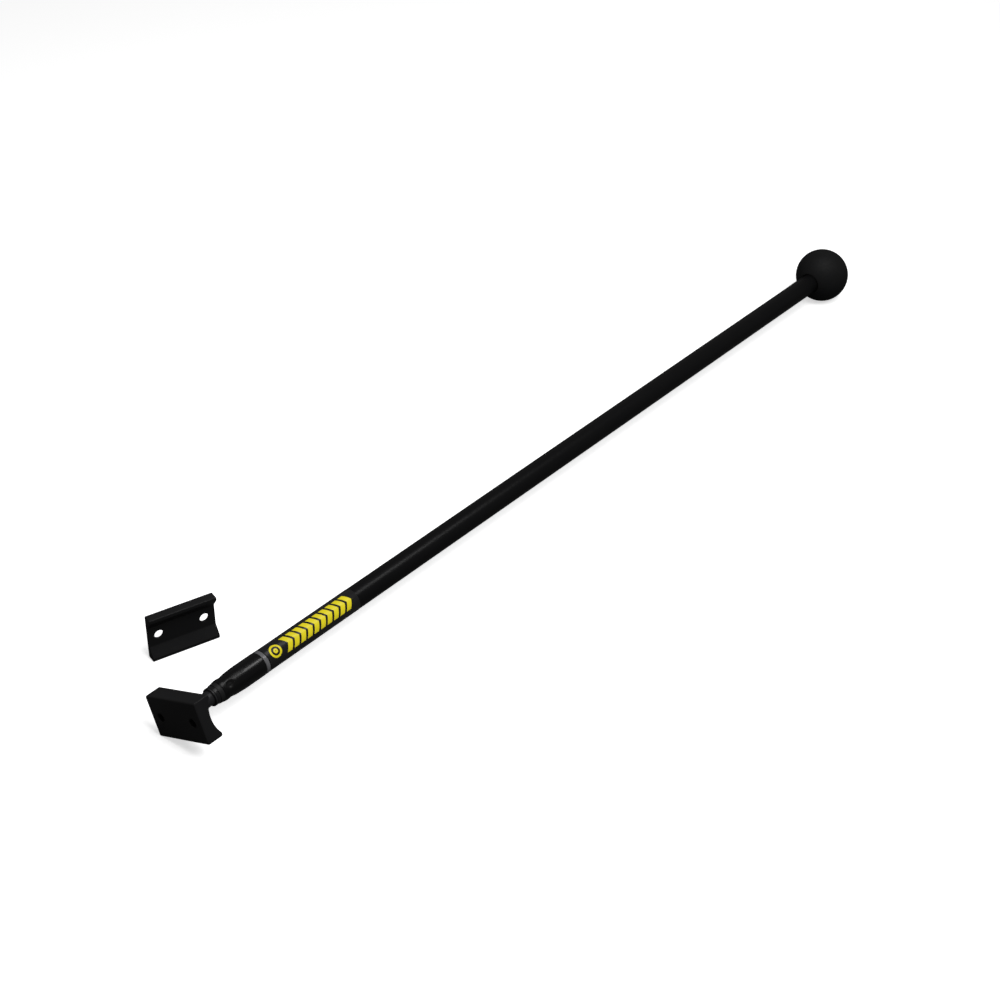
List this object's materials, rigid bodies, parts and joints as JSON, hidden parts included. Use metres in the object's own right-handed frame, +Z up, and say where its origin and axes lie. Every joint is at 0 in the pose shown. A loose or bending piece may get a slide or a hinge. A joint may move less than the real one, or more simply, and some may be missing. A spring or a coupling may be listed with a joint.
{
  "type": "bed cargo bar",
  "caption": "Telescoping twist-lock cargo bar for a pickup bed, with a rubber ball at one end, a pivoting saddle foot at the other and a loose saddle that screws to the bed wall.",
  "frame": {"origin": "centre of the foot saddle's flat face, on the bar's axis", "axes": "+X along the bar from the foot to the ball, +Z up with the bar lying level on the ground, loose saddle on the +Y side"},
  "size_m": [1.544, 0.22, 0.0888],
  "materials": {
    "outer_tube": "satin black powder coat",
    "label_wrap": null,
    "collet_body": "grey nylon",
    "ball_plug": "natural nylon",
    "ball_plug_pin": "plain steel rivet",
    "ball_stud": "zinc-plated thread",
    "stud_nut": "zinc-plated",
    "ball_insert": "turned brass",
    "ball_end": "matt black rubber",
    "lock_collar": "glossy black moulding",
    "nose_wiper": "black rubber",
    "glide_bush": "natural nylon",
    "inner_tube": "satin black powder coat",
    "inner_end_cap": "black nylon",
    "eye_fitting": "blackened casting",
    "eye_fitting_pin": "blackened steel",
    "pivot_bush": "bronze bush",
    "foot_saddle": "moulded black plastic, satin",
    "clevis_bracket": "black coated steel",
    "clevis_screw_left": "zinc-plated",
    "clevis_screw_right": "zinc-plated",
    "pivot_washer_left": "zinc-plated",
    "pivot_washer_right": "zinc-plated",
    "pivot_pin": "zinc-plated",
    "pin_clip": "black spring steel",
    "wall_saddle": "moulded black plastic, satin"
  },
  "bodies": {
    "main_tube": {"outer_tube": "outer_tube", "label_wrap": "label_wrap", "collet_body": "collet_body", "ball_plug": "ball_plug", "ball_plug_pin": "ball_plug_pin", "ball_stud": "ball_stud", "stud_nut": "stud_nut", "ball_insert": "ball_insert", "ball_end": "ball_end"},
    "collar": {"lock_collar": "lock_collar", "nose_wiper": "nose_wiper"},
    "glide": {"glide_bush": "glide_bush"},
    "inner": {"inner_tube": "inner_tube", "inner_end_cap": "inner_end_cap", "eye_fitting": "eye_fitting", "eye_fitting_pin": "eye_fitting_pin", "pivot_bush": "pivot_bush"},
    "foot": {"foot_saddle": "foot_saddle", "clevis_bracket": "clevis_bracket", "clevis_screw_left": "clevis_screw_left", "clevis_screw_right": "clevis_screw_right", "pivot_washer_left": "pivot_washer_left", "pivot_washer_right": "pivot_washer_right", "pivot_pin": "pivot_pin", "pin_clip": "pin_clip"},
    "loose_saddle": {"wall_saddle": "wall_saddle"}
  },
  "joints": [
    {"name": "collar_twist", "type": "hinge", "parent": "main_tube", "child": "collar", "pos_m": [0.11, 0, 0], "axis": [1, 0, 0], "range_deg": [0, 180]},
    {"name": "extension", "type": "slide", "parent": "main_tube", "child": "glide", "axis": [-1, 0, 0], "range_m": [0, 0.355]},
    {"name": "inner_spin", "type": "hinge", "parent": "glide", "child": "inner", "pos_m": [0.3, 0, 0], "axis": [1, 0, 0], "continuous": true},
    {"name": "foot_tilt", "type": "hinge", "parent": "inner", "child": "foot", "pos_m": [0.034, 0, 0], "axis": [0, 0.9336, -0.3584], "range_deg": [-30, 30]},
    {"name": "wall_saddle_lift", "type": "slide", "parent": "main_tube", "child": "loose_saddle", "axis": [0, 0, 1], "range_m": [0, 0.1]}
  ]
}
